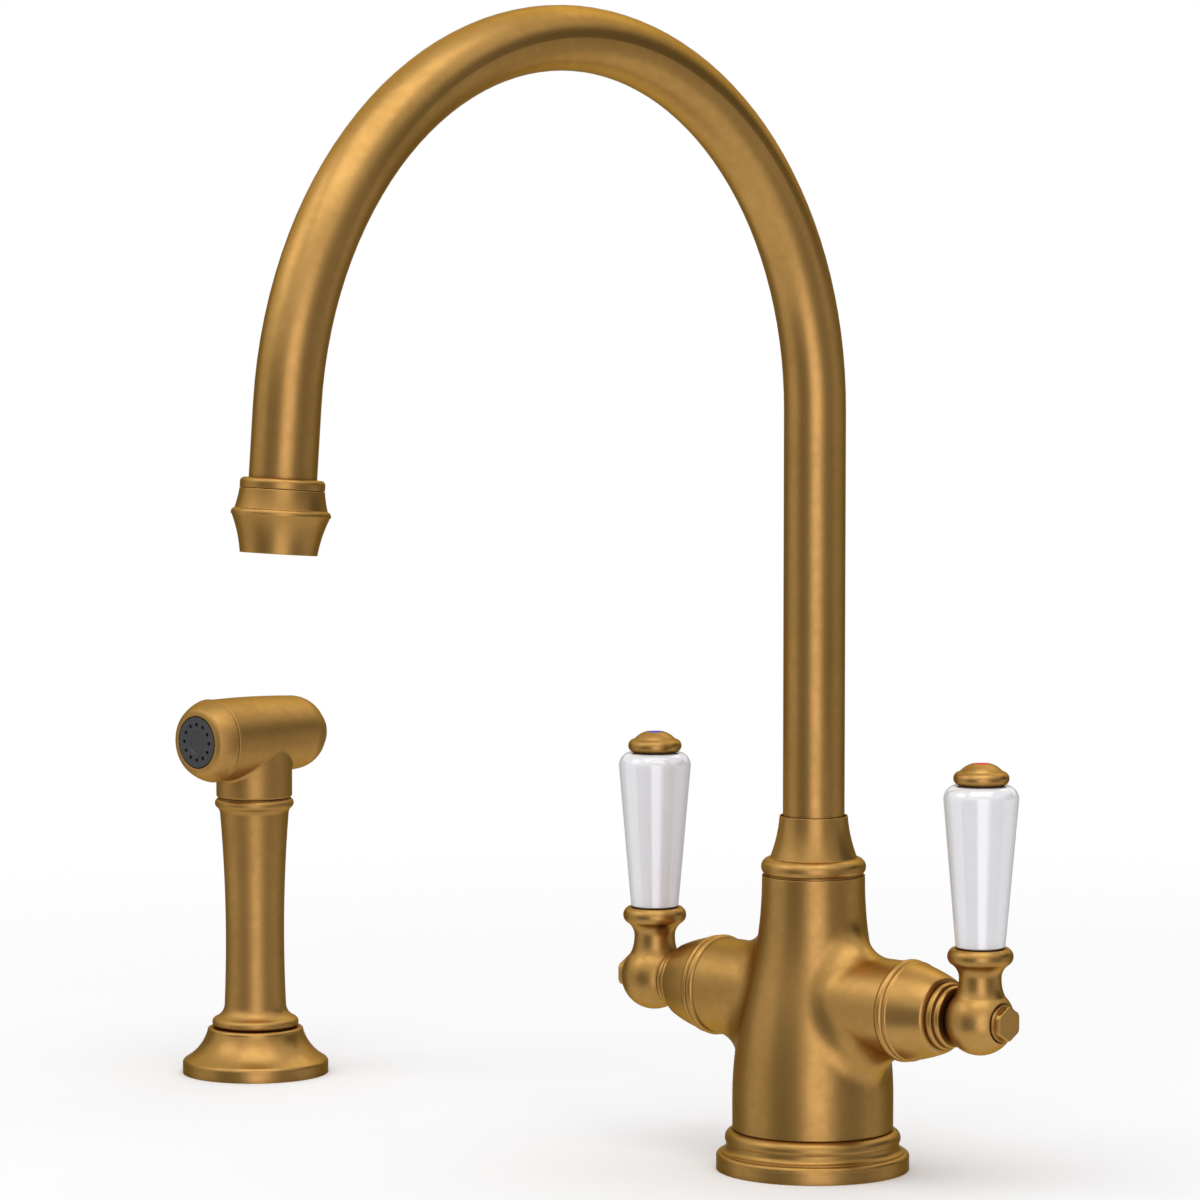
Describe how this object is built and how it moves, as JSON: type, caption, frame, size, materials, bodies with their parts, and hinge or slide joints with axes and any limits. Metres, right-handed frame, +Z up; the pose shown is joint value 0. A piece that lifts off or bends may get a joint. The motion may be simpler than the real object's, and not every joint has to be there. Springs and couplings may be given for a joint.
{
  "type": "monobloc mixer tap",
  "caption": "Traditional two-lever monobloc kitchen mixer tap in aged brass with a swan-neck spout, white porcelain grips and a side rinse spray.",
  "frame": {"origin": "On the worktop, at the axis of the tap's column", "axes": "+Z is up. The spout reaches towards -Y, to the user. The hot lever is on +X, the cold lever on -X, and the rinse spray stands beyond the cold lever."},
  "size_m": [0.3761, 0.2892, 0.3747],
  "materials": {
    "aged_brass": "satin, hand aged",
    "plain_brass": "as turned",
    "white_glaze": "gloss glaze",
    "valve_ceramic": "lapped",
    "black_rubber": "matt",
    "white_acetal": "moulded",
    "dark_plastic": "moulded, satin",
    "steel": "bright drawn",
    "hot_index": "gloss",
    "cold_index": "gloss"
  },
  "bodies": {
    "tap": {"base_flange": "aged_brass", "base_seal": "black_rubber", "mixer_body": "aged_brass", "spout_collar": "aged_brass", "spout_bush": "white_acetal", "diverter_cap": "plain_brass", "diverter_sleeve": "white_acetal", "diverter_spring": "steel", "hot_bonnet": "aged_brass", "hot_valve_body": "plain_brass", "hot_seat_seal": "black_rubber", "hot_fixed_disc": "valve_ceramic", "cold_bonnet": "aged_brass", "cold_valve_body": "plain_brass", "cold_seat_seal": "black_rubber", "cold_fixed_disc": "valve_ceramic", "spray_flange": "aged_brass", "spray_flange_seal": "black_rubber", "spray_guide_bush": "white_acetal"},
    "spout": {"spout_tube": "aged_brass", "spout_spigot": "plain_brass", "spout_o_rings": "black_rubber", "outlet_nozzle": "aged_brass", "aerator_washer": "black_rubber", "aerator": "white_acetal"},
    "hot_lever": {"hot_turning_disc": "valve_ceramic", "hot_spindle": "plain_brass", "hot_spindle_o_ring": "black_rubber", "hot_lever_hub": "aged_brass", "hot_lever_screw": "aged_brass", "hot_lever_rod": "steel", "hot_lever_grip": "white_glaze", "hot_grip_washers": "black_rubber", "hot_lever_finial": "aged_brass", "hot_index_disc": "hot_index"},
    "cold_lever": {"cold_turning_disc": "valve_ceramic", "cold_spindle": "plain_brass", "cold_spindle_o_ring": "black_rubber", "cold_lever_hub": "aged_brass", "cold_lever_screw": "aged_brass", "cold_lever_rod": "steel", "cold_lever_grip": "white_glaze", "cold_grip_washers": "black_rubber", "cold_lever_finial": "aged_brass", "cold_index_disc": "cold_index"},
    "diverter": {"diverter_plunger": "white_acetal"},
    "spray_carrier": {"spray_hose_connector": "plain_brass", "spray_connector_o_ring": "black_rubber"},
    "spray_handset": {"spray_stem": "aged_brass", "spray_head": "aged_brass", "spray_front_ring": "aged_brass", "spray_face": "dark_plastic", "spray_face_gasket": "black_rubber", "spray_button_spring": "steel"},
    "spray_trigger": {"spray_button": "aged_brass", "spray_valve_stem": "steel", "spray_valve_seal": "black_rubber"}
  },
  "joints": [
    {"name": "spout_swivel", "type": "hinge", "parent": "tap", "child": "spout", "pos_m": [0, 0, 0.075], "axis": [0, 0, 1], "continuous": true},
    {"name": "hot_lever_turn", "type": "hinge", "parent": "tap", "child": "hot_lever", "pos_m": [0.06952, 0, 0.05607], "axis": [1, 0, 0], "range_deg": [0, 90]},
    {"name": "cold_lever_turn", "type": "hinge", "parent": "tap", "child": "cold_lever", "pos_m": [-0.06952, 0, 0.05607], "axis": [1, 0, 0], "range_deg": [0, 90]},
    {"name": "diverter_slide", "type": "slide", "parent": "tap", "child": "diverter", "axis": [0, 0, -1], "range_m": [0, 0.004], "stiffness_N_per_m": 200, "springref_m": -0.001, "deforming": ["diverter_spring"]},
    {"name": "spray_lift", "type": "slide", "parent": "tap", "child": "spray_carrier", "axis": [0, 0, 1], "range_m": [0, 0.06]},
    {"name": "spray_turn", "type": "hinge", "parent": "spray_carrier", "child": "spray_handset", "pos_m": [-0.2684, 0.0059, 0.0165], "axis": [0, 0, 1], "continuous": true},
    {"name": "spray_press", "type": "slide", "parent": "spray_handset", "child": "spray_trigger", "axis": [0, -1, 0], "range_m": [0, 0.003], "stiffness_N_per_m": 1200, "springref_m": -0.002, "deforming": ["spray_button_spring"]}
  ]
}
